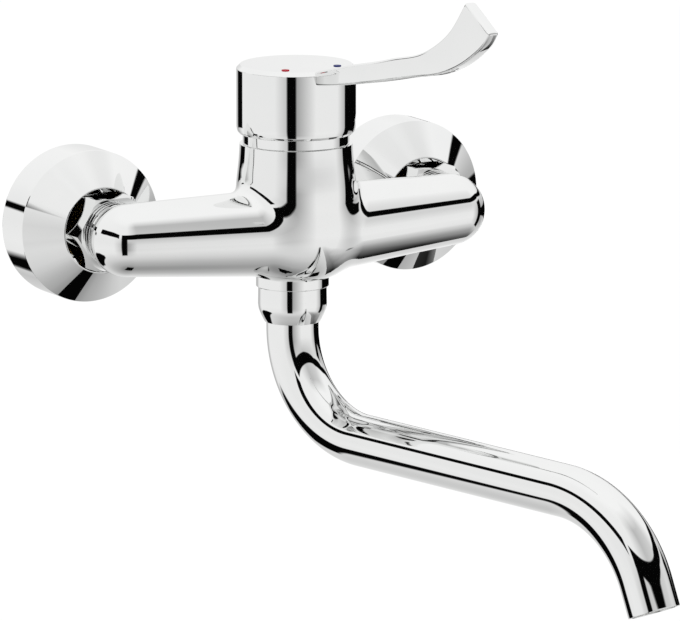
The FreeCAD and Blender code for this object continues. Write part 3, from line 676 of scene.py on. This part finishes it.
def tent_strip(name, edge, radius, soft):
    # A strip on a sphere between (azimuth, low, high) marks in degrees, fading out over its soft rim.
    rows, widest_step = 40, 1.5
    marks = []
    for (a0, l0, h0), (a1, l1, h1) in zip(edge, edge[1:]):
        steps = max(2, int(abs(a1 - a0) / widest_step))
        last = (a1, l1, h1) == edge[-1]
        marks += [(a0 + (a1 - a0) * k / steps, l0 + (l1 - l0) * k / steps, h0 + (h1 - h0) * k / steps)
                  for k in range(steps + last)]
    points, faces, cover = [], [], []
    for azimuth, low, high in marks:
        for i in range(rows + 1):
            height = low + (high - low) * i / rows
            a, e = math.radians(azimuth), math.radians(height)
            points.append((radius * math.sin(a) * math.cos(e), -radius * math.cos(a) * math.cos(e),
                           radius * math.sin(e)))
            gap = min(azimuth - edge[0][0], edge[-1][0] - azimuth, height - low, high - height)
            cover.append(min(1.0, max(0.0, gap / soft)) if soft else 1.0)
    for j in range(len(marks) - 1):
        for i in range(rows):
            a = j * (rows + 1) + i
            faces.append((a, a + rows + 1, a + rows + 2, a + 1))
    mesh = bpy.data.meshes.new(name)
    mesh.from_pydata(points, [], faces)
    mesh.attributes.new("cover", "FLOAT", "POINT").data.foreach_set("value", cover)
    strip = bpy.data.objects.new(name, mesh)
    strip.location = tent_centre
    bpy.context.collection.objects.link(strip)
    reflected_only(strip)
    return strip


cloth = tent_strip("tent_cloth", [(-180.0, -90.0, 90.0), (180.0, -90.0, 90.0)], tent_r, 0.0)
glow = bpy.data.materials.new("cotton_backlit")
glow.use_nodes = True
tree = glow.node_tree
tree.nodes.clear()
spot = add(tree, "ShaderNodeTexCoord").outputs["Object"]
spot = add(tree, "ShaderNodeVectorMath", {"operation": "NORMALIZE"}, _0=spot).outputs[0]
upright = by_height(tree, spot, [(-90, "#848484"), (-72, "#a6a6a6"), (-52, "#c8c8c8"), (-28, "#ececec"),
                                 (-16, "#f4f4f4"), (10, "#eeeeee"), (90, "#f3f3f3")])
beside = by_turn(tree, spot, [(-180, "#b0b0b0"), (-158, "#f4f4f4"), (-70, "#f4f4f4"), (-28, "#a6a6a6"),
                              (10, "#f4f4f4"), (58, "#f4f4f4"), (82, "#b0b0b0"), (105, "#b0b0b0"),
                              (145, "#fafafa"), (180, "#b0b0b0")])
beside_share = by_height(tree, spot, [(-90, "#000000"), (-45, "#000000"), (-20, "#ffffff"), (-2, "#ffffff"),
                                      (22, "#000000"), (90, "#000000")])
tone = add(tree, "ShaderNodeMix", {"data_type": "RGBA", "blend_type": "MULTIPLY"}, _0=beside_share, _6=upright,
           _7=beside)
before = by_turn(tree, spot, [(-180, "#ffffff"), (-30, "#f8f8f8"), (8, "#c2c2c2"), (50, "#d8d8d8"),
                              (80, "#ffffff"), (180, "#ffffff")])
before_share = by_height(tree, spot, [(-90, "#000000"), (-4, "#000000"), (12, "#e7e7e7"), (50, "#ffffff"),
                                      (68, "#000000"), (90, "#000000")])
tone = add(tree, "ShaderNodeMix", {"data_type": "RGBA", "blend_type": "MULTIPLY"}, _0=before_share,
           _6=tone.outputs[2], _7=before)
light = add(tree, "ShaderNodeEmission", Color=tone.outputs[2], Strength=1.15)
add(tree, "ShaderNodeOutputMaterial", Surface=light.outputs[0])
cloth.data.materials.append(glow)

card = bpy.data.materials.new("card_black")
card.use_nodes = True
tree = card.node_tree
tree.nodes.clear()
grey = add(tree, "ShaderNodeEmission", Color=linear("#050505"), Strength=1.0)
clear = add(tree, "ShaderNodeBsdfTransparent")
cover = add(tree, "ShaderNodeAttribute", {"attribute_name": "cover"})
faded = add(tree, "ShaderNodeMixShader", _0=cover.outputs["Fac"], _1=clear.outputs[0], _2=grey.outputs[0])
add(tree, "ShaderNodeOutputMaterial", Surface=faded.outputs[0])

# Each card's outline on the tent, in degrees, and how far its rim fades.
cards = {
    "card_round_left": ([(-124, 14, 24), (-112, 15, 27), (-97, 17, 29), (-85, 17, 30), (-75, 17, 30),
                         (-62, 16, 28), (-54, 13.5, 26)], 1.0),
    "card_round": ([(-47.5, 12, 26), (-25, 12, 27), (0, 12, 28), (10, 12, 28), (30, 14, 28), (45, 16, 28),
                    (56, 18, 29), (75, 16, 27), (85, 15, 25), (92, 15, 23), (100, 12, 19), (110, 8, 15),
                    (118, 5, 12), (128, 3, 9), (138, 2, 7)], 1.0),
    "card_upright": ([(-48, -38, 16), (-27, -38, 16)], 2.5),
    "card_right": ([(78, -32, 12), (96, -32, 12)], 1.5),
    "card_right_low": ([(93, -14, -2), (150, -14, -2)], 1.0),
    "card_behind": ([(180, -10, -3), (206, -10, -3)], 1.0),
    "card_back_left": ([(-160, 4, 9.5), (-140, 4, 9.5)], 1.2),
    "card_back_low": ([(-174, -36, -26), (-165, -40, -23), (-150, -46, -21), (-130, -42, -24),
                       (-112, -38, -31)], 2.0),
}
for name, (outline, soft) in cards.items():
    strip = tent_strip(name, outline, card_r, soft)
    strip.data.materials.append(card)

# Small cards that lie flat under the tap, mirrored by the covers' lower halves
# and the right arm's underside: three places across, then (depth, blackness)
# steps. The last one also fades out towards the right.
table = {
    "card_under_left": ((-0.088, -0.050, -0.006), [(-0.100, 1.0), (-0.022, 1.0)]),
    "card_under_right": ((0.090, 0.126, 0.162), [(-0.100, 1.0), (-0.022, 1.0)]),
    "card_under_arm": ((0.235, 0.30, 0.52), [(-0.60, 0.0), (-0.34, 0.45), (-0.12, 0.76), (0.0, 0.97),
                                             (0.055, 1.0)]),
}
for name, (columns, steps) in table.items():
    points = [(x, y, table_z) for y, _ in steps for x in columns]
    faces = [(3 * i + k, 3 * i + k + 1, 3 * i + k + 4, 3 * i + k + 3)
             for i in range(len(steps) - 1) for k in (0, 1)]
    outer = 0.0 if name == "card_under_arm" else 1.0
    cover = [c * share for _, c in steps for share in (1.0, 1.0, outer)]
    mesh = bpy.data.meshes.new(name)
    mesh.from_pydata(points, [], faces)
    mesh.attributes.new("cover", "FLOAT", "POINT").data.foreach_set("value", cover)
    mesh.materials.append(card)
    flat = bpy.data.objects.new(name, mesh)
    bpy.context.collection.objects.link(flat)
    reflected_only(flat)

# Floor: seamless white paper, well below the spout. To the camera it is the
# photo's plain white, with the tap's soft shadow.
floor_mesh = bpy.data.meshes.new("floor")
floor_z = -0.42
floor_mesh.from_pydata([(x, y, floor_z) for x, y in ((-7, -5), (7, -5), (7, 9), (-7, 9))], [], [(0, 1, 2, 3)])
floor = bpy.data.objects.new("floor", floor_mesh)
bpy.context.collection.objects.link(floor)
paper = bpy.data.materials.new("paper_white_matt")
paper.use_nodes = True
tree = paper.node_tree
tree.nodes.clear()
rays = add(tree, "ShaderNodeLightPath")
seen = add(tree, "ShaderNodeMath", {"operation": "MAXIMUM"}, _0=rays.outputs["Is Camera Ray"],
           _1=rays.outputs["Is Transmission Ray"])
share = add(tree, "ShaderNodeMath", {"operation": "MULTIPLY"}, _0=seen.outputs[0], _1=0.8)
fibres = add(tree, "ShaderNodeTexNoise", Scale=300.0)
sheet = add(tree, "ShaderNodeMix", {"data_type": "RGBA"}, _0=fibres.outputs["Fac"], _6=linear("#f4f4f4"),
            _7=linear("#fafafa"))
matt = add(tree, "ShaderNodeBsdfDiffuse", Color=sheet.outputs[2])
white = add(tree, "ShaderNodeEmission", Color=(1, 1, 1, 1), Strength=1.13)
both = add(tree, "ShaderNodeMixShader", _0=share.outputs[0], _1=matt.outputs[0], _2=white.outputs[0])
add(tree, "ShaderNodeOutputMaterial", Surface=both.outputs[0])
floor.data.materials.append(paper)
floor.visible_glossy = False

# The room: white to the camera and in reflections, and dimmer as a light.
world = bpy.data.worlds.new("white_room")
bpy.context.scene.world = world
world.use_nodes = True
tree = world.node_tree
tree.nodes.clear()
rays = add(tree, "ShaderNodeLightPath")
direct = add(tree, "ShaderNodeMath", {"operation": "MAXIMUM"}, _0=rays.outputs["Is Camera Ray"],
             _1=rays.outputs["Is Glossy Ray"])
direct = add(tree, "ShaderNodeMath", {"operation": "MAXIMUM"}, _0=direct.outputs[0],
             _1=rays.outputs["Is Transmission Ray"])
strength = add(tree, "ShaderNodeMapRange", _0=direct.outputs[0], _3=0.55, _4=1.0)
sky = add(tree, "ShaderNodeBackground", Color=(1, 1, 1, 1), Strength=strength.outputs[0])
add(tree, "ShaderNodeOutputWorld", Surface=sky.outputs[0])

# Two large soft lamps, left and above, light what isn't chrome.
for name, place, size in (("softbox_left", (-1.6, -1.6, 1.4), 1.4), ("softbox_top", (0.5, -0.6, 2.0), 1.6)):
    lamp = bpy.data.lights.new(name, "AREA")
    lamp.shape = "SQUARE"
    lamp.size = size
    lamp.energy = 14.0
    box = bpy.data.objects.new(name, lamp)
    box.location = place
    box.rotation_euler = (Vector(place) - Vector(tent_centre)).to_track_quat("Z", "Y").to_euler()
    box.visible_glossy = False
    bpy.context.collection.objects.link(box)
